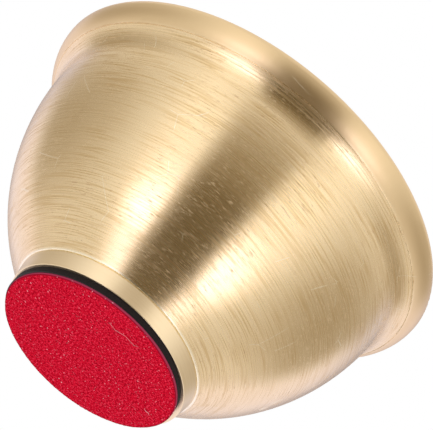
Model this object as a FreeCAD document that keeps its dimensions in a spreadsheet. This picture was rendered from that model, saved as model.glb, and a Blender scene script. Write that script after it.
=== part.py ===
import FreeCAD, Part
import math
import os

import Sketcher
from FreeCAD import Vector

# A small footed bell bowl of turned brass. It stands on a felt-faced foam pad, with the
# origin at the centre of the felt's underside, +Z up along the turning axis, millimetres.
# The foot is a turned ring of its own. A spigot centres it under the bowl, and one cap
# screw with a spring washer, hidden above the pad, draws it up tight.

# Driving dimensions: lengths of the finished pieces, and angles in degrees from the
# upright axis. Each piece takes the sizes that it fits to from the piece that carries it.
SIZES = {
    # bowl, from its flat base up the outside
    "base_diameter": 41.8,
    "base_fillet": 0.25,
    "cone_angle": 46.5,
    "cone_height": 4.8,
    "belly_curve": 45.0,
    "neck_lean": 1.0,
    "neck_curve": 5.7,
    "neck_turn": 55.5,
    "lip_curve": 4.5,
    "nose_curve": 1.5,
    "line_width": 0.18,
    # bowl, inside
    "wall_thickness": 2.2,
    "flare_curve": 7.9,
    "floor_curve": 5.0,
    "floor_cover": 1.2,
    # foot
    "foot_height": 3.55,
    "foot_step": 0.15,
    "foot_flare": 0.55,
    "foot_chamfer": 0.1,
    "edge_break": 0.2,
    "spigot_diameter": 24.0,
    "spigot_height": 1.0,
    "spigot_clearance": 0.1,
    "spigot_end_gap": 0.1,
    # screw and spring washer
    "screw_diameter": 3.0,
    "screw_length": 6.0,
    "head_diameter": 5.5,
    "head_height": 1.6,
    "key_width": 2.0,
    "key_depth": 1.0,
    "screw_chamfer": 0.3,
    "washer_diameter": 6.2,
    "washer_bore": 3.1,
    "washer_thickness": 0.8,
    "washer_slit": 0.6,
    "head_recess": 0.2,
    "washer_clearance": 0.3,
    "shank_clearance": 0.2,
    "thread_clearance": 0.05,
    "thread_run_out": 0.5,
    # pad
    "pad_inset": 0.1,
    "felt_thickness": 0.55,
    "tape_thickness": 0.1,
    "foam_thickness": 1.25,
}

# Sizes that several pieces share, worked out from the sheet. Radii are from the turning
# axis, and the screw's reach is how deep its hole stands in the bowl.
BASE_RADIUS = "Sizes.base_diameter / 2"
FOOT_TOP_RADIUS = "(Sizes.base_diameter / 2 - Sizes.foot_step)"
FOOT_RADIUS = "(" + FOOT_TOP_RADIUS + " - Sizes.foot_flare)"
PAD_RADIUS = "(" + FOOT_RADIUS + " - Sizes.foot_chamfer - Sizes.pad_inset)"
PAD_HEIGHT = "(Sizes.felt_thickness + 2 * Sizes.tape_thickness + Sizes.foam_thickness)"
SCREW_SEAT = "(Sizes.head_recess + Sizes.head_height)"
COUNTERBORE = "(" + SCREW_SEAT + " + Sizes.washer_thickness)"
REACH = "(" + SCREW_SEAT + " + Sizes.screw_length + Sizes.thread_run_out - Sizes.foot_height)"
FLOOR_HEIGHT = "(" + REACH + " + Sizes.floor_cover)"
CONE_TOP_RADIUS = "(Sizes.base_diameter / 2 + Sizes.cone_height * tan(Sizes.cone_angle))"
NECK_HEIGHT = ("(Sizes.cone_height + Sizes.belly_curve"
               " * (sin(Sizes.cone_angle) - sin(Sizes.neck_lean)))")
CREASE_HEIGHT = ("(" + NECK_HEIGHT + " + Sizes.neck_curve"
                 " * (sin(Sizes.neck_turn) - sin(Sizes.neck_lean)))")

doc = FreeCAD.newDocument("bell_bowl")


def make_sheet():
    """Write every driving dimension into a sheet, each under its own alias."""
    sheet = doc.addObject("Spreadsheet::Sheet", "Sizes")
    for row, (alias, value) in enumerate(SIZES.items(), start=1):
        sheet.set("A%d" % row, alias)
        sheet.set("B%d" % row, str(value))
        sheet.setAlias("B%d" % row, alias)
    doc.recompute()
    return sheet


sheet = make_sheet()


def value(expression):
    """The number that an expression on the sheet has now."""
    number = sheet.evalExpression(expression)
    return float(getattr(number, "Value", number))


def make_body(name, height):
    """A body whose own origin stands at this height on the turning axis."""
    body = doc.addObject("PartDesign::Body", name + "_body")
    body.Label = name
    body.setExpression("Placement.Base.z", height)
    return body


def make_sketch(body, name, role):
    """An empty sketch on one of the body's own origin planes."""
    sketch = body.newObject("Sketcher::SketchObject", name)
    plane = [f for f in body.Origin.OriginFeatures if f.Role == role][0]
    sketch.AttachmentSupport = (plane, "")
    sketch.MapMode = "FlatFace"
    doc.recompute()
    return sketch


# How a sketch names its own origin, and the points of a line, an arc or a circle.
ORIGIN = (-1, 1)
START, END, CENTRE = range(1, 4)


def pin(sketch, kind, geometry, point, expression):
    """Hold a point at a distance from the sketch's origin that the sheet gives."""
    number = sketch.addConstraint(
        Sketcher.Constraint(kind, *ORIGIN, geometry, point, value(expression)))
    sketch.setExpression("Constraints[%d]" % number, expression)


def set_radius(sketch, geometry, expression):
    """Give an arc or circle the radius that the sheet holds."""
    number = sketch.addConstraint(Sketcher.Constraint("Radius", geometry, value(expression)))
    sketch.setExpression("Constraints[%d]" % number, expression)


def draw_polygon(sketch, corners):
    """A closed outline of straight lines. Each corner is a pair of expressions, and a
    coordinate of None keeps the corner on that axis of the sketch."""
    points = [Vector(value(x) if x else 0, value(y) if y else 0, 0) for x, y in corners]
    last = len(points) - 1
    for i, start in enumerate(points):
        sketch.addGeometry(Part.LineSegment(start, points[0 if i == last else i + 1]))
    for i, (x, y) in enumerate(corners):
        before = last if i == 0 else i - 1
        sketch.addConstraint(Sketcher.Constraint("Coincident", before, END, i, START))
        if x:
            pin(sketch, "DistanceX", i, START, x)
        else:
            sketch.addConstraint(Sketcher.Constraint("Vertical", *ORIGIN, i, START))
        if y:
            pin(sketch, "DistanceY", i, START, y)
        else:
            sketch.addConstraint(Sketcher.Constraint("Horizontal", *ORIGIN, i, START))
    doc.recompute()


def draw_circle(sketch, radius):
    """A circle round the sketch's origin."""
    number = sketch.addGeometry(
        Part.Circle(Vector(0, 0, 0), Vector(0, 0, 1), value(radius)))
    sketch.addConstraint(Sketcher.Constraint("Coincident", number, CENTRE, *ORIGIN))
    set_radius(sketch, number, radius)
    doc.recompute()


def draw_hexagon(sketch, corner_radius):
    """A regular hexagon round the sketch's origin, by its corner radius."""
    half = "%s / 2" % corner_radius
    rise = "%s * sqrt(3) / 2" % corner_radius
    draw_polygon(sketch, [
        (corner_radius, None),
        (half, rise),
        ("-" + half, rise),
        ("-" + corner_radius, None),
        ("-" + half, "-" + rise),
        (half, "-" + rise),
    ])


def turn(body, name, sketch, kind="PartDesign::Revolution"):
    """Turn a half outline about the upright axis, as solid or as a cut."""
    before = body.Tip
    feature = body.newObject(kind, name)
    feature.Profile = sketch
    feature.ReferenceAxis = (sketch, ["V_Axis"])
    feature.Angle = 360
    sketch.Visibility = False
    doc.recompute()
    check_cut(feature, before)


def extrude(body, name, sketch, length, kind="PartDesign::Pad", upwards=False):
    """Raise a sketch by a length, or cut it in: down from the sketch, or upwards."""
    before = body.Tip
    feature = body.newObject(kind, name)
    feature.Profile = sketch
    feature.setExpression("Length", length)
    feature.Reversed = upwards
    sketch.Visibility = False
    doc.recompute()
    check_cut(feature, before)


def check_cut(feature, before):
    """A cut that points away from its solid takes nothing off, and shows no error."""
    cuts = feature.TypeId in ("PartDesign::Pocket", "PartDesign::Groove")
    if cuts and not feature.Shape.Volume < before.Shape.Volume:
        raise RuntimeError("%s cuts nothing" % feature.Name)


SAME_PLACE = 1e-4


def round_edges(body, name, kind, expression, radius, height):
    """Fillet or chamfer the circular edge of this radius at this height on the body."""
    base = body.Tip
    edges = []
    for number, edge in enumerate(base.Shape.Edges, start=1):
        if not isinstance(edge.Curve, Part.Circle):
            continue
        off_radius = abs(edge.Curve.Radius - value(radius))
        off_height = abs(edge.Curve.Center.z - value(height))
        if max(off_radius, off_height) < SAME_PLACE:
            edges.append("Edge%d" % number)
    if len(edges) != 1:
        raise RuntimeError("%s found %d edges" % (name, len(edges)))
    feature = body.newObject(kind, name)
    feature.Base = (base, edges)
    length = "Radius" if kind.endswith("Fillet") else "Size"
    feature.setExpression(length, expression)
    doc.recompute()


def make_disc(name, thickness, height):
    """One die-cut layer of the pad."""
    body = make_body(name, height)
    sketch = make_sketch(body, name + "_outline", "XY_Plane")
    draw_circle(sketch, PAD_RADIUS)
    extrude(body, name + "_cut", sketch, thickness)
    return body


def make_pad():
    """The pad, from the table up: felt, adhesive tape, foam, adhesive tape."""
    layers = [
        ("felt_pad", "Sizes.felt_thickness"),
        ("felt_tape", "Sizes.tape_thickness"),
        ("foam_pad", "Sizes.foam_thickness"),
        ("foot_tape", "Sizes.tape_thickness"),
    ]
    below = []
    bodies = []
    for name, thickness in layers:
        bodies.append(make_disc(name, thickness, " + ".join(below) or "0"))
        below.append(thickness)
    return bodies


def make_foot():
    """The turned foot: a low flared band with a centring spigot on top and a
    counterbore for the screw's head below."""
    body = make_body("foot", PAD_HEIGHT)
    top = "Sizes.foot_height"
    spigot_top = "Sizes.foot_height + Sizes.spigot_height"
    bore = "Sizes.screw_diameter / 2 + Sizes.shank_clearance"
    counterbore = "Sizes.washer_diameter / 2 + Sizes.washer_clearance"
    sketch = make_sketch(body, "foot_outline", "XZ_Plane")
    draw_polygon(sketch, [
        (counterbore, None),
        (FOOT_RADIUS, None),
        (FOOT_TOP_RADIUS, top),
        ("Sizes.spigot_diameter / 2", top),
        ("Sizes.spigot_diameter / 2", spigot_top),
        (bore, spigot_top),
        (bore, COUNTERBORE),
        (counterbore, COUNTERBORE),
    ])
    turn(body, "foot_turned", sketch)
    round_edges(body, "foot_bottom_edge", "PartDesign::Chamfer", "Sizes.foot_chamfer",
                FOOT_RADIUS, "0")
    round_edges(body, "foot_top_edge", "PartDesign::Chamfer", "Sizes.edge_break",
                FOOT_TOP_RADIUS, top)
    round_edges(body, "spigot_edge", "PartDesign::Chamfer", "Sizes.edge_break",
                "Sizes.spigot_diameter / 2", spigot_top)
    return body


def make_washer():
    """The spring washer, drawn flat as it is when the screw is tight."""
    body = make_body("lock_washer", PAD_HEIGHT + " + " + SCREW_SEAT)
    sketch = make_sketch(body, "washer_outline", "XY_Plane")
    draw_circle(sketch, "Sizes.washer_diameter / 2")
    draw_circle(sketch, "Sizes.washer_bore / 2")
    extrude(body, "washer_ring", sketch, "Sizes.washer_thickness")
    half = "Sizes.washer_slit / 2"
    slit = make_sketch(body, "washer_slit_outline", "XZ_Plane")
    draw_polygon(slit, [
        ("-" + half, None),
        (half, None),
        (half, "Sizes.washer_thickness"),
        ("-" + half, "Sizes.washer_thickness"),
    ])
    extrude(body, "washer_slit_cut", slit, "Sizes.washer_diameter",
            kind="PartDesign::Pocket")
    return body


def make_screw():
    """The low cap screw. Its origin is the seat under its head: the head hangs below,
    the shank stands above, drawn at its thread's outer diameter."""
    body = make_body("foot_screw", PAD_HEIGHT + " + " + SCREW_SEAT)
    shank = "Sizes.screw_diameter / 2"
    tip = "Sizes.screw_diameter / 2 - Sizes.screw_chamfer"
    head = "Sizes.head_diameter / 2"
    sketch = make_sketch(body, "screw_outline", "XZ_Plane")
    draw_polygon(sketch, [
        (None, "-Sizes.head_height"),
        (head + " - Sizes.screw_chamfer", "-Sizes.head_height"),
        (head, "-Sizes.head_height + Sizes.screw_chamfer"),
        (head, None),
        (shank, None),
        (shank, "Sizes.screw_length - Sizes.screw_chamfer"),
        (tip, "Sizes.screw_length"),
        (None, "Sizes.screw_length"),
    ])
    turn(body, "screw_turned", sketch)
    key = make_sketch(body, "key_outline", "XY_Plane")
    key.setExpression("AttachmentOffset.Base.z", "-Sizes.head_height")
    draw_hexagon(key, "Sizes.key_width / sqrt(3)")
    extrude(body, "key_socket", key, "Sizes.key_depth", kind="PartDesign::Pocket",
            upwards=True)
    return body


def square_to_wall(lean):
    """The direction out of a wall that leans outwards by this angle."""
    angle = math.radians(value(lean))
    return Vector(math.cos(angle), -math.sin(angle), 0)


def bowl_corners():
    """Where the straight runs and arcs of the bowl's wall meet, followed up the outside
    from the base. Each arc is tangent to the next, and the belly has one wall thickness."""
    wall = value("Sizes.wall_thickness")
    curve = value("Sizes.belly_curve")
    neck = value("Sizes.neck_curve")
    lip = value("Sizes.lip_curve")
    nose = value("Sizes.nose_curve")
    flare = value("Sizes.flare_curve")
    fillet = value("Sizes.floor_curve")
    floor = value(FLOOR_HEIGHT)
    cone_side = square_to_wall("Sizes.cone_angle")
    neck_side = square_to_wall("Sizes.neck_lean")
    lip_side = square_to_wall("Sizes.neck_turn")

    base = Vector(value(BASE_RADIUS), 0, 0)
    cone_top = Vector(value(CONE_TOP_RADIUS), value("Sizes.cone_height"), 0)
    belly_centre = cone_top - cone_side * curve
    neck_start = belly_centre + neck_side * curve
    neck_centre = neck_start + neck_side * neck
    crease = neck_centre - lip_side * neck
    lip_centre = crease - lip_side * lip
    rim = lip_centre + Vector(lip, 0, 0)
    nose_centre = rim - Vector(nose, 0, 0)

    # the flare inside the lip touches the inner wall and wraps round the nose
    inner = belly_centre.x + curve - wall
    across = nose_centre.x - inner - flare
    rise = math.sqrt((flare - nose) ** 2 - across ** 2)
    flare_centre = nose_centre - Vector(across, rise, 0)
    nose_end = flare_centre + Vector(across, rise, 0) * (flare / (flare - nose))

    # the fillet inside touches the flat floor and the belly's inner arc
    inner_curve = curve - wall
    drop = belly_centre.y - floor - fillet
    reach = math.sqrt((inner_curve - fillet) ** 2 - drop ** 2)
    fillet_centre = belly_centre + Vector(reach, -drop, 0)
    fillet_end = belly_centre + Vector(reach, -drop, 0) * (
        inner_curve / (inner_curve - fillet))
    return {
        "base": base, "cone_top": cone_top, "belly_centre": belly_centre,
        "neck_start": neck_start, "neck_centre": neck_centre, "crease": crease,
        "lip_centre": lip_centre, "rim": rim, "nose_centre": nose_centre,
        "nose_end": nose_end, "flare_centre": flare_centre,
        "flare_start": Vector(inner, flare_centre.y, 0),
        "wall_top": Vector(inner, belly_centre.y, 0),
        "fillet_centre": fillet_centre, "fillet_end": fillet_end,
        "floor_edge": Vector(fillet_centre.x, floor, 0), "floor": Vector(0, floor, 0),
    }


def add_line(sketch, start, end):
    """A straight run of an outline, by its number in the sketch."""
    return sketch.addGeometry(Part.LineSegment(start, end))


def add_arc(sketch, centre, start, end):
    """An arc drawn counter-clockwise from start to end."""
    radius = (start - centre).Length
    circle = Part.Circle(centre, Vector(0, 0, 1), radius)
    first = math.atan2(start.y - centre.y, start.x - centre.x)
    last = math.atan2(end.y - centre.y, end.x - centre.x)
    return sketch.addGeometry(Part.ArcOfCircle(circle, first, last))


def draw_bowl(sketch):
    """Half the bowl's section. Joined ends are tangent wherever the wall runs smoothly,
    so the sketch holds its shape when a size changes."""
    at = bowl_corners()
    bottom = add_line(sketch, Vector(0, 0, 0), at["base"])
    cone = add_line(sketch, at["base"], at["cone_top"])
    belly = add_arc(sketch, at["belly_centre"], at["cone_top"], at["neck_start"])
    neck = add_arc(sketch, at["neck_centre"], at["crease"], at["neck_start"])
    lip = add_arc(sketch, at["lip_centre"], at["crease"], at["rim"])
    nose = add_arc(sketch, at["nose_centre"], at["rim"], at["nose_end"])
    flare = add_arc(sketch, at["flare_centre"], at["nose_end"], at["flare_start"])
    wall = add_line(sketch, at["flare_start"], at["wall_top"])
    inner = add_arc(sketch, at["belly_centre"], at["fillet_end"], at["wall_top"])
    fillet = add_arc(sketch, at["fillet_centre"], at["floor_edge"], at["fillet_end"])
    floor = add_line(sketch, at["floor_edge"], at["floor"])
    axis = add_line(sketch, at["floor"], Vector(0, 0, 0))

    corners = [(bottom, END, cone, START), (floor, END, axis, START),
               (axis, END, bottom, START)]
    for first, first_end, second, second_end in corners:
        sketch.addConstraint(
            Sketcher.Constraint("Coincident", first, first_end, second, second_end))
    smooth = [
        (cone, END, belly, START), (belly, END, neck, END), (neck, START, lip, START),
        (lip, END, nose, START), (nose, END, flare, START), (flare, END, wall, START),
        (wall, END, inner, END), (inner, START, fillet, END), (fillet, START, floor, START),
    ]
    for first, first_end, second, second_end in smooth:
        sketch.addConstraint(
            Sketcher.Constraint("Tangent", first, first_end, second, second_end))

    sketch.addConstraint(Sketcher.Constraint("Coincident", bottom, START, *ORIGIN))
    sketch.addConstraint(Sketcher.Constraint("Horizontal", bottom))
    sketch.addConstraint(Sketcher.Constraint("Vertical", wall))
    sketch.addConstraint(Sketcher.Constraint("Horizontal", floor))
    sketch.addConstraint(Sketcher.Constraint("Vertical", axis))
    sketch.addConstraint(Sketcher.Constraint("Coincident", inner, CENTRE, belly, CENTRE))
    sketch.addConstraint(Sketcher.Constraint("Horizontal", lip, CENTRE, lip, END))
    pin(sketch, "DistanceX", bottom, END, BASE_RADIUS)
    pin(sketch, "DistanceX", cone, END, CONE_TOP_RADIUS)
    pin(sketch, "DistanceY", cone, END, "Sizes.cone_height")
    pin(sketch, "DistanceY", belly, END, NECK_HEIGHT)
    pin(sketch, "DistanceY", lip, START, CREASE_HEIGHT)
    pin(sketch, "DistanceY", floor, END, FLOOR_HEIGHT)
    set_radius(sketch, belly, "Sizes.belly_curve")
    set_radius(sketch, inner, "Sizes.belly_curve - Sizes.wall_thickness")
    set_radius(sketch, neck, "Sizes.neck_curve")
    set_radius(sketch, lip, "Sizes.lip_curve")
    set_radius(sketch, nose, "Sizes.nose_curve")
    set_radius(sketch, flare, "Sizes.flare_curve")
    set_radius(sketch, fillet, "Sizes.floor_curve")

    # the crease's radius is read off the section, for the line that is turned into it
    number = sketch.addConstraint(
        Sketcher.Constraint("DistanceX", *ORIGIN, lip, START, at["crease"].x))
    sketch.setDriving(number, False)
    sketch.renameConstraint(number, "crease_radius")
    doc.recompute()


def make_bowl():
    """The bell itself: a thick flat base, a conical foot of the wall that curves into an
    upright belly, a hollow neck, and a heavy lip rolled outwards."""
    body = make_body("bowl", PAD_HEIGHT + " + Sizes.foot_height")
    section = make_sketch(body, "bowl_section", "XZ_Plane")
    draw_bowl(section)
    turn(body, "bowl_turned", section)
    round_edges(body, "base_edge", "PartDesign::Fillet", "Sizes.base_fillet",
                BASE_RADIUS, "0")

    recess = make_sketch(body, "spigot_recess_outline", "XY_Plane")
    draw_circle(recess, "Sizes.spigot_diameter / 2 + Sizes.spigot_clearance")
    extrude(body, "spigot_recess", recess, "Sizes.spigot_height + Sizes.spigot_end_gap",
            kind="PartDesign::Pocket", upwards=True)
    hole = make_sketch(body, "screw_hole_outline", "XY_Plane")
    draw_circle(hole, "Sizes.screw_diameter / 2 + Sizes.thread_clearance")
    extrude(body, "screw_hole", hole, REACH, kind="PartDesign::Pocket", upwards=True)

    # a fine turned line where the brushed neck gives way to the smooth lip
    crease = "bowl_section.Constraints.crease_radius"
    line = make_sketch(body, "lip_line_outline", "XZ_Plane")
    ring = line.addGeometry(Part.Circle(
        Vector(value(crease), value(CREASE_HEIGHT), 0), Vector(0, 0, 1),
        value("Sizes.line_width / 2")))
    pin(line, "DistanceX", ring, CENTRE, crease)
    pin(line, "DistanceY", ring, CENTRE, CREASE_HEIGHT)
    set_radius(line, ring, "Sizes.line_width / 2")
    doc.recompute()
    turn(body, "lip_line", line, "PartDesign::Groove")
    return body


def check_and_write(bodies):
    """Stop on any failed object or unsound shape, then write one file per piece."""
    doc.recompute()
    for item in doc.Objects:
        for state in ("Invalid", "Error"):
            if state in item.State:
                raise RuntimeError("%s is in state %s" % (item.Name, item.State))
    for body in bodies:
        if body.Shape.isNull() or not body.Shape.isValid():
            raise RuntimeError("%s has no sound shape" % body.Label)
        if len(body.Shape.Solids) != 1:
            raise RuntimeError("%s is %d solids" % (body.Label, len(body.Shape.Solids)))
    os.makedirs("parts", exist_ok=True)
    for body in bodies:
        body.Shape.exportStep("parts/%s.step" % body.Label)
        box = body.Shape.optimalBoundingBox()
        print("%-12s volume %9.2f  z %6.2f to %6.2f  width %6.2f" % (
            body.Label, body.Shape.Volume, box.ZMin, box.ZMax, box.XLength))


check_and_write(make_pad() + [make_foot(), make_washer(), make_screw(), make_bowl()])
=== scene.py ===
import math
import random

import bmesh
import bpy
from mathutils import Matrix, Vector, geometry, noise


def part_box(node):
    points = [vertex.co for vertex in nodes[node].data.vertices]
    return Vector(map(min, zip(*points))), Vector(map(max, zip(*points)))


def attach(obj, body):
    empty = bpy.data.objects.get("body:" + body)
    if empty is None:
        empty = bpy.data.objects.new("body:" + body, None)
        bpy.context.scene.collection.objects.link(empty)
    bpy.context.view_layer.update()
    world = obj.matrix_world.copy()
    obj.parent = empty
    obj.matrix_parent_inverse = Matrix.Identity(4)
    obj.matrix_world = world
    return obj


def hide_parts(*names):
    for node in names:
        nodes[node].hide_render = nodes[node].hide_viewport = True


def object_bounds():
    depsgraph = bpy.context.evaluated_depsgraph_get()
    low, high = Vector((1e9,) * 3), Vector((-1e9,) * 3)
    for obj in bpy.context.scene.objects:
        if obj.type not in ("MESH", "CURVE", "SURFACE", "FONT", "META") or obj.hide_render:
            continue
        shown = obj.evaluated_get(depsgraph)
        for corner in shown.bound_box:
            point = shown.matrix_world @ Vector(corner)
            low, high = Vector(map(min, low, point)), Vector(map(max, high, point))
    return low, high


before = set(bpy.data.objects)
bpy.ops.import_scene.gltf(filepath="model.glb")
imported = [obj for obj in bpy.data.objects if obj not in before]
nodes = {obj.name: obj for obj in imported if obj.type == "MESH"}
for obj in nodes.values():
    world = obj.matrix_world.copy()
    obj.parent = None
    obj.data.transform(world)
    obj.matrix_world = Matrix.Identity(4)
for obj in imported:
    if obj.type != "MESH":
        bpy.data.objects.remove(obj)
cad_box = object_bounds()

# A small footed bell bowl in brushed brass, standing on a pad of black foam and red felt.
# Each section below is one piece, from the screw outwards to the pad, then the studio.
MM = 0.001

# Foot screw and lock washer. Steel, zinc plated in a barrel and passed blue, which gives a
# cool, slightly cloudy shine. The screw holds the foot to the bowl and the felt pad hides both.
ZINC_COLOUR, ZINC_CLOUD_COLOUR = "C6CBD3", "AEB2BA"
ZINC_ROUGHNESS = (0.26, 0.42)
ZINC_CLOUD = 0.8 * MM
TOOL_MARK, TOOL_MARK_DEPTH = 0.12 * MM, 0.01 * MM


def linear(colour):
    """An sRGB hex colour as linear red, green, blue and 1."""
    parts = [int(colour[i:i + 2], 16) / 255 for i in (0, 2, 4)]
    return [c / 12.92 if c <= 0.04045 else ((c + 0.055) / 1.055) ** 2.4 for c in parts] + [1.0]


def add(tree, kind, inputs=(), output=0, stops=(), **settings):
    """Adds a node with its settings and links. inputs holds, for each socket in turn or by
    name, a value or the output that feeds it. Gives back one output, or all for None."""
    node = tree.nodes.new("ShaderNode" + kind)
    for name, value in settings.items():
        setattr(node, name, value)
    for key, value in inputs.items() if isinstance(inputs, dict) else enumerate(inputs):
        if isinstance(value, bpy.types.NodeSocket):
            tree.links.new(value, node.inputs[key])
        else:
            node.inputs[key].default_value = value
    for place, level in stops:
        ramp = node.color_ramp.elements
        stop = ramp[0] if place <= 0 else ramp[-1] if place >= 1 else ramp.new(place)
        stop.color = (level, level, level, 1)
    return node.outputs if output is None else node.outputs[output] if node.outputs else None


def new_material(name):
    """An empty material, its node tree, and each point's place on the object."""
    material = bpy.data.materials.new(name)
    material.use_nodes = True
    material.node_tree.nodes.clear()
    tree = material.node_tree
    return material, tree, add(tree, "TexCoord", output="Object")


zinc, tree, place = new_material("zinc_plated_steel_barrel_passivated")
cloud = add(tree, "TexNoise", {"Vector": place, "Scale": 1 / ZINC_CLOUD, "Detail": 3.0})
marks = add(tree, "TexNoise", {"Vector": place, "Scale": 1 / TOOL_MARK, "Detail": 2.0})
clouded = add(tree, "MapRange", [cloud, 0.35, 0.65, 0.0, 1.0], interpolation_type="SMOOTHSTEP")
add(tree, "OutputMaterial", [add(tree, "BsdfPrincipled", {
    "Base Color": add(tree, "Mix", {0: clouded, 6: linear(ZINC_COLOUR),
                                    7: linear(ZINC_CLOUD_COLOUR)}, 2, data_type="RGBA"),
    "Metallic": 1.0,
    "Roughness": add(tree, "MapRange", [clouded, 0.0, 1.0, *ZINC_ROUGHNESS]),
    "Normal": add(tree, "Bump", {"Strength": 0.2, "Distance": TOOL_MARK_DEPTH, "Height": marks})})])
for name in ("foot_screw", "lock_washer"):
    nodes[name].data.materials[0] = zinc

# Bell bowl. Spun from brass sheet and trued on a lathe, so it is one body of revolution.
# Its outside was brushed as it turned: hairlines run round it, a highlight stretches along
# its height, and the lip past the fine turned line is rubbed even and duller. The CAD node
# keeps its mesh. The marks are hairlines, wider strokes, flecks and a few faint scratches.
BRASS_COLOUR = "EBD0A4"  # pale yellow brass, clean and unlacquered
BRASS_DEEP_COLOUR = "DBBC8A"  # in the deeper hairlines
LIP_COLOUR = "E3C698"  # a little darker and warmer than the rest of the bowl, past the turned line
BRASS_HIGHLIGHT_AND_SCRATCH_COLOUR = "FBEFD2"  # painted highlight on the edge where bowl and foot meet, and the paler metal of scratches
BRASS_ROUGHNESS = 0.27
BRASS_BRUSHING = 0.8
BRASS_RELIEF, BRASS_RELIEF_SHARE = 0.02 * MM, 0.14
HAIRLINE, HAIRLINE_LENGTH = 0.28 * MM, 10 * MM  # real ones are 0.05 mm apart, too fine to show
STROKE, STROKE_LENGTH = 1.8 * MM, 30 * MM
FLECK, FLECK_LENGTH = 0.22 * MM, 1.5 * MM
PATCH = 11 * MM  # some patches were brushed harder than others
HAIRLINE_ROUGHNESS, STROKE_ROUGHNESS, FLECK_ROUGHNESS = 0.035, 0.015, 0.26
# How far up the bowl, and half as far down the foot, the painted edge highlight reaches.
HIGHLIGHT_EDGE = 0.35 * MM
LIP_ROUGHNESS = 0.11
LIP_DROP, LIP_FADE = 5.2 * MM, 0.4 * MM  # from the rim down to the turned line
RING, RING_LENGTH = 0.36 * MM, 120 * MM  # fine turned rings below it
RING_DROP, RING_FADE = 10.5 * MM, 2.5 * MM
RING_ROUGHNESS = 0.17
SCRATCH_CELL, SCRATCH_PATCH, SCRATCH_WIDTH = 9 * MM, 7 * MM, 0.09 * MM
SCRATCH_ROUGHNESS, SCRATCH_PALENESS = 0.2, 0.6


def turned_place(tree, place, step, length):
    """Texture space with one unit every step along the profile and every length round the
    axis. Radius plus height grows all the way along the profile, so there is no seam."""
    x, y, z = add(tree, "SeparateXYZ", [place], None)
    flat = add(tree, "CombineXYZ", [x, y])
    radius = add(tree, "VectorMath", [flat], "Value", operation="LENGTH")
    along = add(tree, "Math", [add(tree, "Math", [radius, z]), 1 / step], operation="MULTIPLY")
    around = add(tree, "VectorMath", {0: flat, 3: 1 / length}, operation="SCALE")
    return add(tree, "VectorMath", [around, add(tree, "CombineXYZ", {2: along})])


def brushed_metal(tree, place, colours, roughness, brushing, depth, highlight_and_scratches, calm=0.0, more=None):
    """Turned and brushed metal. Its hairlines, strokes and flecks run round the axis and change
    the roughness, the colour and the relief, and the lathe's direction stretches the
    highlights. highlight_and_scratches is 1 where an edge gets a painted highlight and on pale
    scratches, calm is 1 where the marks were polished out, and more is added roughness."""
    lines = add(tree, "TexNoise", {"Vector": turned_place(tree, place, HAIRLINE, HAIRLINE_LENGTH),
                                   "Scale": 1.0, "Detail": 1.0})
    strokes = add(tree, "TexNoise", {"Vector": turned_place(tree, place, STROKE, STROKE_LENGTH),
                                     "Scale": 1.0, "Detail": 2.0})
    flecks = add(tree, "TexNoise", {"Vector": turned_place(tree, place, FLECK, FLECK_LENGTH),
                                    "Scale": 1.0, "Detail": 1.0})
    patches = add(tree, "TexNoise", {"Vector": place, "Scale": 1 / PATCH, "Detail": 1.0})
    marked = add(tree, "Math", [add(tree, "Math", [1.0, calm], operation="SUBTRACT"),
                                add(tree, "MapRange", [patches, 0.35, 0.65, 0.5 * depth,
                                                       1.5 * depth])], operation="MULTIPLY")
    rough = roughness if more is None else add(tree, "Math", [more, roughness])
    for share, reach in ((add(tree, "MapRange", [lines, 0.3, 0.7, -1.0, 1.0]), HAIRLINE_ROUGHNESS),
                         (add(tree, "MapRange", [strokes, 0.3, 0.7, -1.0, 1.0]), STROKE_ROUGHNESS),
                         (add(tree, "MapRange", [flecks, 0.6, 0.7, 0.0, 1.0]), FLECK_ROUGHNESS)):
        share = add(tree, "Math", [share, marked], operation="MULTIPLY")
        rough = add(tree, "Math", [share, reach, rough], operation="MULTIPLY_ADD")
    deep = add(tree, "MapRange", [lines, 0.45, 0.7, 0.0, 1.0], interpolation_type="SMOOTHSTEP")
    deep = add(tree, "Math", [deep, marked], operation="MULTIPLY")
    relief = add(tree, "Math", [add(tree, "Math", [lines, flecks]), marked], operation="MULTIPLY")
    colour = add(tree, "Mix", {0: deep, 6: colours[0], 7: colours[1]}, 2, data_type="RGBA")
    # Painted highlight on the edge, and pale scratches.
    colour = add(tree, "Mix", {0: highlight_and_scratches, 6: colour, 7: linear(BRASS_HIGHLIGHT_AND_SCRATCH_COLOUR)}, 2,
                 data_type="RGBA")
    return add(tree, "BsdfPrincipled", {
        "Base Color": colour, "Metallic": 1.0, "Roughness": rough,
        "Anisotropic": brushing, "Anisotropic Rotation": 0.25,
        "Tangent": add(tree, "Tangent", direction_type="RADIAL", axis="Z"),
        "Normal": add(tree, "Bump", {"Strength": BRASS_RELIEF_SHARE, "Distance": BRASS_RELIEF,
                                     "Height": relief})})


brass, tree, place = new_material("brass_spun_and_brushed")
height = add(tree, "SeparateXYZ", [place], 2)
base, rim = [corner.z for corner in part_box("bowl")]
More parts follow.
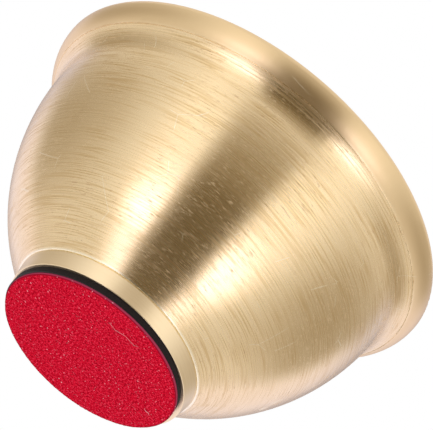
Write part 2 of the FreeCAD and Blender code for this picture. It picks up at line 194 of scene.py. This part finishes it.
# A painted highlight along the bowl's bottom edge, where it meets the foot.
highlight_and_scratches = add(tree, "MapRange", [height, base, base + HIGHLIGHT_EDGE, 1.0, 0.0])
lip = add(tree, "MapRange", [height, rim - LIP_DROP, rim - LIP_DROP + LIP_FADE, 0.0, 1.0],
          interpolation_type="SMOOTHSTEP")
rings = add(tree, "TexNoise", {"Vector": turned_place(tree, place, RING, RING_LENGTH),
                               "Scale": 1.0, "Detail": 1.0})
rings = add(tree, "MapRange", [rings, 0.55, 0.65, 0.0, 1.0])
near_lip = add(tree, "MapRange", [height, rim - RING_DROP, rim - RING_DROP + RING_FADE, 0.0, 1.0],
               interpolation_type="SMOOTHSTEP")
rings = add(tree, "Math", [rings, add(tree, "Math", [near_lip, lip], operation="SUBTRACT")],
            operation="MULTIPLY", use_clamp=True)
cracks = add(tree, "TexVoronoi", {"Vector": place, "Scale": 1 / SCRATCH_CELL},
             feature="DISTANCE_TO_EDGE")
cracks = add(tree, "MapRange", [cracks, 0.0, SCRATCH_WIDTH / SCRATCH_CELL, 1.0, 0.0])
patch = add(tree, "TexNoise", {"Vector": place, "Scale": 1 / SCRATCH_PATCH, "Detail": 1.0})
patch = add(tree, "MapRange", [patch, 0.6, 0.64, 0.0, 1.0])
scratches = add(tree, "Math", [cracks, patch], operation="MULTIPLY")
# Scratches add paler metal to the painted edge highlight.
highlight_and_scratches = add(tree, "Math", [scratches, SCRATCH_PALENESS, highlight_and_scratches], operation="MULTIPLY_ADD",
           use_clamp=True)
extra = add(tree, "Math", [lip, LIP_ROUGHNESS,
                           add(tree, "Math", [scratches, SCRATCH_ROUGHNESS],
                               operation="MULTIPLY")], operation="MULTIPLY_ADD")
extra = add(tree, "Math", [rings, RING_ROUGHNESS, extra], operation="MULTIPLY_ADD")
colours = [add(tree, "Mix", {0: lip, 6: linear(colour), 7: linear(LIP_COLOUR)}, 2,
               data_type="RGBA") for colour in (BRASS_COLOUR, BRASS_DEEP_COLOUR)]
add(tree, "OutputMaterial", [brushed_metal(
    tree, place, colours, BRASS_ROUGHNESS, BRASS_BRUSHING, 1.0, highlight_and_scratches, lip, extra)])
nodes["bowl"].data.materials[0] = brass

# Foot. A short brass collar turned from bar, faced and chamfered, pressed onto the bowl's
# base and held by the screw. The lathe tool left it smoother than the brushed bowl.
FOOT_COLOUR, FOOT_DEEP_COLOUR = "F2DAB2", "E2C697"
FOOT_ROUGHNESS, FOOT_BRUSHING = 0.36, 0.2
FOOT_MARKS = 0.15  # how strong the bowl's hairlines and flecks are here

turned, tree, place = new_material("brass_turned")
height = add(tree, "SeparateXYZ", [place], 2)
# A painted highlight along the foot's top edge, under the bowl.
highlight_and_scratches = add(tree, "MapRange", [height, base - HIGHLIGHT_EDGE / 2, base, 0.0, 1.0])
add(tree, "OutputMaterial", [brushed_metal(
    tree, place, (linear(FOOT_COLOUR), linear(FOOT_DEEP_COLOUR)), FOOT_ROUGHNESS,
    FOOT_BRUSHING, FOOT_MARKS, highlight_and_scratches)])
nodes["foot"].data.materials[0] = turned

# Pad tapes. Two films of clear acrylic tape, one each side of the foam, cut with the pad by
# hand and so a little out of round. The black foam shows through: only a dark shine is left.
TAPE_COLOUR, TAPE_DUST_COLOUR = "181110", "2C2422"
TAPE_GLUE, TAPE_ROUGHNESS = 0.6 * MM, (0.4, 0.6)
PAD_REACH = 19.75 * MM
PAD_CENTRE = Vector((-0.35, 0.0, 0)) * MM
PAD_OVAL, PAD_OVAL_TURN = 0.45 * MM, math.radians(120)
PAD_WOBBLE = 0.05 * MM
PAD_AROUND = 420


def pad_reach(angle, reach=PAD_REACH):
    """How far the pad reaches from its centre in one direction."""
    ragged = noise.noise(Vector((3 * math.cos(angle), 3 * math.sin(angle), 5)))
    return reach + PAD_OVAL * math.cos(2 * (angle - PAD_OVAL_TURN)) + PAD_WOBBLE * ragged


def ring(bm, radii, z):
    """A ring of points, one at each radius in turn."""
    count = len(radii)
    return [bm.verts.new((r * math.cos(2 * math.pi * i / count),
                          r * math.sin(2 * math.pi * i / count), z))
            for i, r in enumerate(radii)]


def skin(bm, lower, upper):
    """Faces between two rings of as many points."""
    for i in range(len(lower)):
        j = (i + 1) % len(lower)
        bm.faces.new((lower[i], lower[j], upper[j], upper[i]))


def new_piece(name, bm, material, centre=Vector((0, 0, 0))):
    """Puts a mesh in the scene as a smooth piece that rides on the object."""
    bmesh.ops.translate(bm, verts=bm.verts, vec=centre)
    bmesh.ops.recalc_face_normals(bm, faces=bm.faces)
    mesh = bpy.data.meshes.new(name)
    bm.to_mesh(mesh)
    bm.free()
    piece = bpy.data.objects.new(name, mesh)
    bpy.context.scene.collection.objects.link(piece)
    mesh.materials.append(material)
    for face in mesh.polygons:
        face.use_smooth = True
    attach(piece, "root")
    return piece


tape, tree, place = new_material("acrylic_tape_on_polyester_film")
glue = add(tree, "TexNoise", {"Vector": place, "Scale": 1 / TAPE_GLUE, "Detail": 2.0})
add(tree, "OutputMaterial", [add(tree, "BsdfPrincipled", {
    "Base Color": add(tree, "Mix", {0: glue, 6: linear(TAPE_COLOUR), 7: linear(TAPE_DUST_COLOUR)},
                      2, data_type="RGBA"),
    "Roughness": add(tree, "MapRange", [glue, 0.3, 0.7, *TAPE_ROUGHNESS]),
    "Specular IOR Level": 0.3, "IOR": 1.47})])
for name in ("foot_tape", "felt_tape"):
    low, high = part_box(name)
    bm = bmesh.new()
    radii = [pad_reach(2 * math.pi * i / PAD_AROUND) for i in range(PAD_AROUND)]
    rows = [ring(bm, radii, low.z), ring(bm, radii, high.z)]
    skin(bm, *rows)
    bm.faces.new(rows[0][::-1])
    bm.faces.new(rows[1])
    new_piece(name + "_film", bm, tape, PAD_CENTRE)
    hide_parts(name)

# Foam pad. Black cross-linked polyethylene foam, stamped out of sheet, so its skin is smooth
# and its cut wall shows small open cells.
FOAM_COLOUR, FOAM_HOLLOW_SHADE_COLOUR = "1D1513", "0B0807"
FOAM_CELL = 0.22 * MM
FOAM_PIT, FOAM_PIT_SIZE = 0.035 * MM, 1.6 * FOAM_CELL
FOAM_ROWS = 8
FOAM_EDGE = 0.05 * MM
FOAM_GRAIN = 0.05 * MM  # relief too fine for the mesh

foam, tree, place = new_material("polyethylene_foam_black")
# The inside of each cell is painted darker than its walls: painted shade in the hollows.
cells = add(tree, "TexVoronoi", {"Vector": place, "Scale": 1 / FOAM_CELL},
            feature="DISTANCE_TO_EDGE")
shaded_hollow = add(tree, "MapRange", [cells, 0.1, 0.4, 0.0, 1.0], interpolation_type="SMOOTHSTEP")
add(tree, "OutputMaterial", [add(tree, "BsdfPrincipled", {
    "Base Color": add(tree, "Mix", {0: shaded_hollow, 6: linear(FOAM_COLOUR),
                                    7: linear(FOAM_HOLLOW_SHADE_COLOUR)}, 2, data_type="RGBA"),
    "Roughness": add(tree, "MapRange", [cells, 0.0, 0.4, 0.6, 0.9]),
    "Specular IOR Level": 0.2,
    "Normal": add(tree, "Bump", {"Strength": 0.5, "Distance": FOAM_GRAIN, "Height": cells})})])
low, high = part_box("foam_pad")
bm = bmesh.new()
rows = []
for k in range(FOAM_ROWS + 1):
    share = k / FOAM_ROWS
    z = low.z + (high.z - low.z) * share
    inset = FOAM_EDGE * abs(2 * share - 1) ** 4
    radii = []
    for i in range(PAD_AROUND):
        angle = 2 * math.pi * i / PAD_AROUND
        reach = pad_reach(angle)
        spot = Vector((math.cos(angle) * reach, math.sin(angle) * reach, z))
        pit = max(0.0, noise.noise(spot / FOAM_PIT_SIZE)) * FOAM_PIT
        radii.append(reach - inset - (pit if 0 < k < FOAM_ROWS else 0.0))
    rows.append(ring(bm, radii, z))
for lower, upper in zip(rows, rows[1:]):
    skin(bm, lower, upper)
bm.faces.new(rows[0][::-1])
bm.faces.new(rows[-1])
foam_disc = new_piece("foam_disc", bm, foam, PAD_CENTRE)
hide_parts("foam_pad")

# Felt. A disc of red wool felt with a short raised nap, cut by hand with the foam, so its
# edge is rolled a little. The rolled edge is painted darker underneath, as painted shade,
# and the cut wall shows paler wool.
FELT_COLOUR, FELT_LIGHT_COLOUR, FELT_DARK_COLOUR = "E00A2C", "FF4360", "980218"
# Bright specks (pale loose ends with painted fibre highlights), the cut wall, and the rolled edge's
# painted shade.
FELT_END_AND_GLINT_COLOUR, FELT_CUT_COLOUR, FELT_EDGE_SHADE_COLOUR = "FFB4C0", "B0405A", "A00C28"
FELT_BLOOM_COLOUR = "F0A0A8"
FELT_CENTRE = Vector((-0.15, 0.05, 0)) * MM
FELT_TUFT = 0.42 * MM  # how far apart the nap's tufts are
FELT_RELIEF = 0.07 * MM
FELT_FUZZ = 0.2 * MM  # relief too fine for the mesh
FELT_ROLL = 0.14 * MM
FELT_SPACING = 0.32 * MM
GOLDEN_ANGLE = math.pi * (3 - math.sqrt(5))


def felt_material(name, colours):
    """Dyed wool: matt, speckled by the tufts of its nap and by bright specks that are partly pale
    loose ends and partly painted fibre highlights, with a soft pale bloom edge-on. The disc's
    edge mark is 1 at the rolled edge, which is painted darker as painted shade, and 2 on the
    cut wall of paler wool."""
    material, tree, place = new_material(name)
    tufts = add(tree, "TexNoise", {"Vector": place, "Scale": 1 / FELT_TUFT, "Detail": 4.0,
                                   "Roughness": 0.75})
    ends_and_glints = add(tree, "TexNoise", {"Vector": place, "Scale": 0.8 / FELT_TUFT, "Detail": 1.0})
    edge = add(tree, "Attribute", output="Fac", attribute_name="edge")
    middle, light, dark = [linear(c) for c in colours]
    steps = [(tufts, 0.39, 0.5, dark, middle), (tufts, 0.53, 0.63, None, light),
             # Painted shade on the rolled edge.
             (edge, 0.2, 1.0, None, linear(FELT_EDGE_SHADE_COLOUR)),
             (edge, 1.0, 1.6, None, linear(FELT_CUT_COLOUR)),
             # Bright specks: pale loose ends, and painted highlights on fibres.
             (ends_and_glints, 0.7, 0.76, None, linear(FELT_END_AND_GLINT_COLOUR))]
    colour = None
    for amount, start, end, first, second in steps:
        share = add(tree, "MapRange", [amount, start, end, 0.0, 1.0],
                    interpolation_type="SMOOTHSTEP")
        colour = add(tree, "Mix", {0: share, 6: first or colour, 7: second}, 2, data_type="RGBA")
    add(tree, "OutputMaterial", [add(tree, "BsdfPrincipled", {
        "Base Color": colour, "Roughness": 0.95, "Specular IOR Level": 0.0,
        "Sheen Weight": 0.02, "Sheen Roughness": 0.6, "Sheen Tint": linear(FELT_BLOOM_COLOUR),
        "Normal": add(tree, "Bump", {"Strength": 0.9, "Distance": FELT_FUZZ, "Height": tufts})})])
    return material


low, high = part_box("felt_pad")
felt = felt_material("wool_felt_red", (FELT_COLOUR, FELT_LIGHT_COLOUR, FELT_DARK_COLOUR))
rim_count = int(2 * math.pi * PAD_REACH / FELT_SPACING)
spots = []
for k in range(int(math.pi * (PAD_REACH + PAD_OVAL) ** 2 / FELT_SPACING ** 2)):
    radius, angle = FELT_SPACING * math.sqrt(k / math.pi), k * GOLDEN_ANGLE
    if radius < pad_reach(angle) - FELT_ROLL - 0.8 * FELT_SPACING:
        spots.append(Vector((radius * math.cos(angle), radius * math.sin(angle))))
rim_start = len(spots)
for i in range(rim_count):
    angle = 2 * math.pi * i / rim_count
    reach = pad_reach(angle) - FELT_ROLL
    spots.append(Vector((reach * math.cos(angle), reach * math.sin(angle))))
edges = [(rim_start + i, rim_start + (i + 1) % rim_count) for i in range(rim_count)]
flat, _, triangles, origin, _, _ = geometry.delaunay_2d_cdt(spots, edges, [], 1, 1e-7)
bm = bmesh.new()
edge_shade_and_cut = bm.verts.layers.float.new("edge")
points, rim_points = [], [None] * rim_count
for spot, sources in zip(flat, origin):
    lump = noise.fractal(Vector((spot.x, spot.y, 0)) / FELT_TUFT, 1.0, 2.0, 2)
    point = bm.verts.new((spot.x, spot.y, low.z + FELT_RELIEF * (0.5 + lump)))
    points.append(point)
    for source in sources:
        if source >= rim_start:
            rim_points[source - rim_start] = point
            point[edge_shade_and_cut] = 0.9
for triangle in triangles:
    bm.faces.new([points[i] for i in reversed(triangle)])
levels = [(0.55, 0.25, 1.2), (0.95, 0.6, 2.0), (0.9, 1.0, 2.0)]  # share of roll, of height, mark
last = rim_points
for out, up, value in levels:
    radii = [pad_reach(2 * math.pi * i / rim_count) - FELT_ROLL * (1 - out)
             for i in range(rim_count)]
    upper = ring(bm, radii, low.z + (high.z - low.z) * up)
    for point in upper:
        point[edge_shade_and_cut] = value
    skin(bm, last, upper)
    last = upper
bm.faces.new(last)
felt_disc = new_piece("felt_disc", bm, felt, FELT_CENTRE)
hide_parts("felt_pad")

# Nap of the felt. Short wool ends that stand up from the disc and catch the light, and some
# longer loose hairs that lie on it.
NAP_COLOURS = ("DE2544", "F77C90", "A8081F")
NAP_COUNT = 6500
NAP_HEIGHT, NAP_LEAN, NAP_WIDTH = 0.16 * MM, 0.2 * MM, 0.075 * MM
NAP_ROOT = 0.03 * MM  # how deep an end starts in the felt
NAP_MARGIN = 0.2 * MM  # clear of the pad's edge
HAIR_COLOURS = ("E6667C", "F3A3AE", "D8405A")
HAIR_COUNT = 110
HAIR_LENGTH = (0.5 * MM, 1.7 * MM)
HAIR_DROP = 0.09 * MM  # under the felt's face
HAIR_STEPS = 4
HAIR_RADIUS = 0.022 * MM
HAIR_SIDES = 4


def tube(bm, path, radius, sides=HAIR_SIDES):
    """A closed thin tube along a path, tapered to its ends."""
    last = None
    for k, spot in enumerate(path):
        before, after = path[max(k - 1, 0)], path[min(k + 1, len(path) - 1)]
        ahead = (after - before).normalized()
        across = ahead.cross(Vector((0, 0, 1))).normalized()
        over = across.cross(ahead)
        taper = 0.35 if k in (0, len(path) - 1) else 1.0
        loop = [bm.verts.new(spot + radius * taper * (across * math.cos(2 * math.pi * j / sides)
                                                      + over * math.sin(2 * math.pi * j / sides)))
                for j in range(sides)]
        if last:
            skin(bm, last, loop)
        else:
            bm.faces.new(loop[::-1])
        last = loop
    bm.faces.new(last)


chance = random.Random(7)
bm = bmesh.new()
for k in range(NAP_COUNT):
    share, angle = math.sqrt((k + 0.5) / NAP_COUNT), k * GOLDEN_ANGLE + chance.uniform(-0.01, 0.01)
    radius = (pad_reach(angle) - NAP_MARGIN) * share
    root = Vector((radius * math.cos(angle), radius * math.sin(angle), low.z + NAP_ROOT))
    lean = Vector((chance.gauss(0, 1), chance.gauss(0, 1), 0)) * NAP_LEAN * 0.5
    tip = root + lean - Vector((0, 0, NAP_HEIGHT * chance.uniform(0.4, 1.0)))
    turn = chance.uniform(0, 2 * math.pi)
    base = [bm.verts.new(root + NAP_WIDTH / 2 * Vector((math.cos(turn + a), math.sin(turn + a), 0)))
            for a in (0, 2 * math.pi / 3, 4 * math.pi / 3)]
    end = bm.verts.new(tip)
    bm.faces.new(base)
    for i in range(3):
        bm.faces.new((base[i], end, base[(i + 1) % 3]))
nap = new_piece("felt_nap", bm, felt_material("wool_nap_red", NAP_COLOURS),
                FELT_CENTRE)

bm = bmesh.new()
for k in range(HAIR_COUNT):
    angle = chance.uniform(0, 2 * math.pi)
    radius = 0.97 * pad_reach(angle) * math.sqrt(chance.random())
    heading, bend = chance.uniform(0, 2 * math.pi), chance.gauss(0, 0.5)
    length = chance.uniform(*HAIR_LENGTH)
    path = [Vector((radius * math.cos(angle), radius * math.sin(angle), low.z - HAIR_DROP))]
    for step in range(HAIR_STEPS):
        heading += bend
        path.append(path[-1] + length / HAIR_STEPS
                    * Vector((math.cos(heading), math.sin(heading), 0)))
    if all(p.xy.length < pad_reach(math.atan2(p.y, p.x)) - NAP_MARGIN for p in path):
        tube(bm, path, HAIR_RADIUS)
hairs = new_piece("felt_hairs", bm, felt_material("wool_hair_pink", HAIR_COLOURS),
                  FELT_CENTRE)

# Lint. One stray pale thread caught on the nap, and a curl of fluff.
LINT_PATH = [(-1.1, -13.9), (-0.2, -13.7), (0.7, -13.3), (3.1, -14.1), (5.3, -13.6), (6.1, -14.4)]
FLUFF_PATH = [(14.7, 2.0), (15.3, 2.5), (15.9, 2.3), (16.3, 2.9)]
LINT_RADIUS = 0.035 * MM
LINT_DROP = 0.16 * MM  # under the felt's face, where the nap holds it
LINT_STRAND = 0.5 * MM
LINT_COLOUR, LINT_SHADE_COLOUR = "F6C4CA", "E89AA6"

bm = bmesh.new()
for route, radius in ((LINT_PATH, LINT_RADIUS), (FLUFF_PATH, 2 * LINT_RADIUS)):
    tube(bm, [Vector((x * MM, y * MM, low.z - LINT_DROP)) for x, y in route], radius)
lint, tree, place = new_material("cotton_lint")
strands = add(tree, "TexNoise", {"Vector": place, "Scale": 1 / LINT_STRAND, "Detail": 2.0})
add(tree, "OutputMaterial", [add(tree, "BsdfPrincipled", {
    "Base Color": add(tree, "Mix", {0: strands, 6: linear(LINT_COLOUR),
                                    7: linear(LINT_SHADE_COLOUR)}, 2, data_type="RGBA"),
    "Roughness": 0.9})])
lint = new_piece("lint", bm, lint)

# Camera. It looks up at the tilted bell from under its foot, as someone holding it would.
CAMERA_PLACE = Vector((0.77, -624.5, -341.95)) * MM
CAMERA_AIM = Vector((0.77, 0, 41.43)) * MM
CAMERA_ROLL = math.radians(41.38)
CAMERA_LENS, CAMERA_SENSOR = 313.1, 36

scene = bpy.context.scene
camera = bpy.data.objects.new("camera", bpy.data.cameras.new("camera"))
scene.collection.objects.link(camera)
scene.camera = camera
camera.data.lens, camera.data.sensor_width = CAMERA_LENS, CAMERA_SENSOR
camera.data.clip_start, camera.data.clip_end = 0.01, 20
ahead = (CAMERA_AIM - CAMERA_PLACE).normalized()
level = ahead.cross(Vector((0, 0, 1))).normalized()
right = level * math.cos(CAMERA_ROLL) + level.cross(ahead) * math.sin(CAMERA_ROLL)
turn = Matrix((right, right.cross(ahead), -ahead)).transposed().to_4x4()
camera.matrix_world = Matrix.Translation(CAMERA_PLACE) @ turn
scene.view_settings.view_transform = "Standard"

# Light tent. White cloth all round, dimmer at the sides, with a slot on the camera's side
# and a soft lamp behind the cloth on each side of it: what the metal reflects. Matt pieces
# get plain light, and the background is plain white.
TENT_TURN = math.radians(-3)
TENT_BELOW = [(0, 1.2), (50, 1.2), (80, 0.92), (105, 0.88), (122, 1.13), (136, 1.25), (180, 1.1)]
TENT_LEVEL = [(0, 1.3), (40, 1.35), (60, 0.93), (80, 0.6), (105, 0.46), (124, 0.5), (136, 1.12),
              (180, 1.05)]
TENT_HEM = [(0, 0.7), (20, 0.8), (42, 1.4), (65, 0.95), (95, 0.7), (125, 0.58), (155, 0.84),
            (180, 0.8)]
TENT_RANGE = 2.0  # the brightest that the cloth's stops can be
TENT_FADE = (math.radians(-38), math.radians(0))
SLOT_HALF, SLOT_EDGE = 0.27, 0.42  # how far sideways the slot is dark, and where it ends
SLOT_BRIGHTNESS, SLOT_TOP_BRIGHTNESS = 0.125, 0.42
SLOT_TOP = (math.radians(-22), math.radians(5))
LAMP_SIDE, LAMP_DROP = math.radians(35), math.radians(-45)
LAMP_SPREAD, LAMP_BRIGHTNESS = (math.radians(24), math.radians(2)), 1.75
HEM = [math.radians(a) for a in (15, 23, 28, 34)]  # where the hem starts and ends
ROOF_BRIGHTNESS = 1.1
MATT_BRIGHTNESS = 0.72
# Where the tent is dimmed (round from the front, up, start and end of its edge, brightness):
# behind, which draws the metal's outline, and on the right.
SHADES = [(180, 31, 30, 10, 0.36), (92, -18, 36, 8, 0.85)]
TINT_DARK, TINT_DIM, TINT_BACK = (1.2, 0.94, 0.53), (1.03, 0.96, 0.86), (0.99, 0.96, 1.14)
TINT_LAMP, TINT_NONE = (0.98, 0.97, 1.22), (1, 1, 1)
LAMP_TINTED = (1.3, 2.6)  # the brightness over which cloth takes the lamps' tint
BACK_TINTED = (0.68, 0.78)  # where the tint of the back begins, as a share of half a turn

world = bpy.data.worlds.new("light_tent")
scene.world = world
world.use_nodes = True
tree = world.node_tree
tree.nodes.clear()
way = add(tree, "TexCoord", output="Generated")
way = add(tree, "VectorRotate", {"Vector": way, "Angle": -TENT_TURN}, rotation_type="Z_AXIS")
across, deep, up = add(tree, "SeparateXYZ", [way], None)
side = add(tree, "Math", [across], operation="ABSOLUTE")
towards = add(tree, "Math", [deep, -1.0], operation="MULTIPLY")
turned = add(tree, "Math", [side, towards], operation="ARCTAN2")
turned = add(tree, "Math", [turned, math.pi], operation="DIVIDE")  # 0 at the front, 1 behind
height = add(tree, "Math", [up], operation="ARCSINE")
below, at_level, hem = [
    add(tree, "ValToRGB", [turned], stops=[(a / 180, b / TENT_RANGE) for a, b in levels])
    for levels in (TENT_BELOW, TENT_LEVEL, TENT_HEM)]
raised = add(tree, "MapRange", [height, *TENT_FADE, 0.0, 1.0], interpolation_type="SMOOTHSTEP")
cloth = add(tree, "Mix", {0: raised, 2: below, 3: at_level})
cloth = add(tree, "Math", [cloth, TENT_RANGE], operation="MULTIPLY")
lamp_way = Vector((math.sin(LAMP_SIDE) * math.cos(LAMP_DROP),
                   -math.cos(LAMP_SIDE) * math.cos(LAMP_DROP), math.sin(LAMP_DROP)))
mirrored = add(tree, "CombineXYZ", [side, deep, up])
aim = add(tree, "VectorMath", [mirrored, lamp_way], "Value", operation="DOT_PRODUCT")
lamp = add(tree, "MapRange", [aim, *[math.cos(a) for a in LAMP_SPREAD], 0.0, LAMP_BRIGHTNESS],
           interpolation_type="SMOOTHSTEP")
cloth = add(tree, "Math", [cloth, lamp])
beside = add(tree, "MapRange", [side, SLOT_HALF, SLOT_EDGE, 0.0, 1.0],
             interpolation_type="SMOOTHSTEP")
behind = add(tree, "MapRange", [deep, 0.0, 0.2, 0.0, 1.0], interpolation_type="SMOOTHSTEP")
closed = add(tree, "Math", [beside, behind], operation="MAXIMUM")
slot = add(tree, "MapRange", [height, *SLOT_TOP, SLOT_BRIGHTNESS, SLOT_TOP_BRIGHTNESS],
           interpolation_type="SMOOTHSTEP")
cloth = add(tree, "Mix", {0: closed, 2: slot, 3: cloth})
hem_low = add(tree, "MapRange", [height, HEM[0], HEM[1], 0.0, 1.0], interpolation_type="SMOOTHSTEP")
hem_high = add(tree, "MapRange", [height, HEM[2], HEM[3], 0.0, 1.0],
               interpolation_type="SMOOTHSTEP")
hem = add(tree, "Math", [hem, TENT_RANGE], operation="MULTIPLY")
cloth = add(tree, "Mix", {0: hem_low, 2: cloth, 3: hem})
cloth = add(tree, "Mix", {0: hem_high, 2: cloth, 3: ROOF_BRIGHTNESS})
for *angles, brightness in SHADES:
    round_by, raised_by, outer, inner = map(math.radians, angles)
    shade_way = Vector((math.sin(round_by) * math.cos(raised_by),
                        -math.cos(round_by) * math.cos(raised_by), math.sin(raised_by)))
    aim = add(tree, "VectorMath", [way, shade_way], "Value", operation="DOT_PRODUCT")
    shade = add(tree, "MapRange", [aim, math.cos(outer), math.cos(inner), 1.0, brightness],
                interpolation_type="SMOOTHSTEP")
    cloth = add(tree, "Math", [cloth, shade], operation="MULTIPLY")
tint = (*TINT_DARK, 1)
for amount, start, end, colour in ((cloth, 0.15, 0.55, TINT_DIM), (cloth, 0.5, 0.95, TINT_NONE),
                                   (cloth, *LAMP_TINTED, TINT_LAMP),
                                   (turned, *BACK_TINTED, TINT_BACK)):
    share = add(tree, "MapRange", [amount, start, end, 0.0, 1.0], interpolation_type="SMOOTHSTEP")
    tint = add(tree, "Mix", {0: share, 6: tint, 7: (*colour, 1)}, 2, data_type="RGBA")
shown = add(tree, "VectorMath", {0: tint, 3: cloth}, operation="SCALE")
rays = add(tree, "LightPath", output=None)
for ray, brightness in (("Is Diffuse Ray", MATT_BRIGHTNESS), ("Is Camera Ray", 1.0)):
    shown = add(tree, "Mix", {0: rays[ray], 6: shown, 7: (brightness,) * 3 + (1,)}, 2,
                data_type="RGBA")
add(tree, "OutputWorld", [add(tree, "Background", [shown, 1.0])])

# Floor. A sheet of pale paper under the pad, seen only from above: the camera looks up from
# below it, and it hides no light from the felt.
FLOOR_COLOUR, FLOOR_FIBRE_COLOUR = "F4F3F1", "F1F0EE"
FLOOR_SIZE = 4.0
FLOOR_DROP = 0.25 * MM
FLOOR_FIBRE = 2 * MM

mesh = bpy.data.meshes.new("floor")
half = FLOOR_SIZE / 2
mesh.from_pydata([(-half, -half, 0), (half, -half, 0), (half, half, 0), (-half, half, 0)], [],
                 [(0, 1, 2, 3)])
floor = bpy.data.objects.new("floor", mesh)
scene.collection.objects.link(floor)
floor.location.z = cad_box[0].z - FLOOR_DROP
paper, tree, place = new_material("paper_pale")
fibres = add(tree, "TexNoise", {"Vector": place, "Scale": 1 / FLOOR_FIBRE, "Detail": 2.0})
matt = add(tree, "BsdfPrincipled", {
    "Base Color": add(tree, "Mix", {0: fibres, 6: linear(FLOOR_COLOUR),
                                    7: linear(FLOOR_FIBRE_COLOUR)}, 2, data_type="RGBA"),
    "Roughness": 0.9})
add(tree, "OutputMaterial", [add(tree, "MixShader", [
    add(tree, "NewGeometry", output="Backfacing"), matt, add(tree, "BsdfTransparent")])])
mesh.materials.append(paper)
floor.visible_diffuse = floor.visible_glossy = floor.visible_transmission = False
floor.visible_shadow = False

# Two soft lamps for the matt pieces, in line with those that the metal reflects.
LAMP_SIZE, LAMP_FAR, LAMP_POWER = 0.35, 0.8, 0.6
for sign in (-1, 1):
    data = bpy.data.lights.new("soft_lamp", "AREA")
    data.size, data.energy = LAMP_SIZE, LAMP_POWER
    lamp = bpy.data.objects.new("soft_lamp", data)
    scene.collection.objects.link(lamp)
    lamp.location = LAMP_FAR * Vector((sign * lamp_way.x, lamp_way.y, lamp_way.z))
    lamp.rotation_mode = "QUATERNION"
    lamp.rotation_quaternion = lamp.location.to_track_quat("Z", "Y")
    lamp.visible_glossy = lamp.visible_camera = False
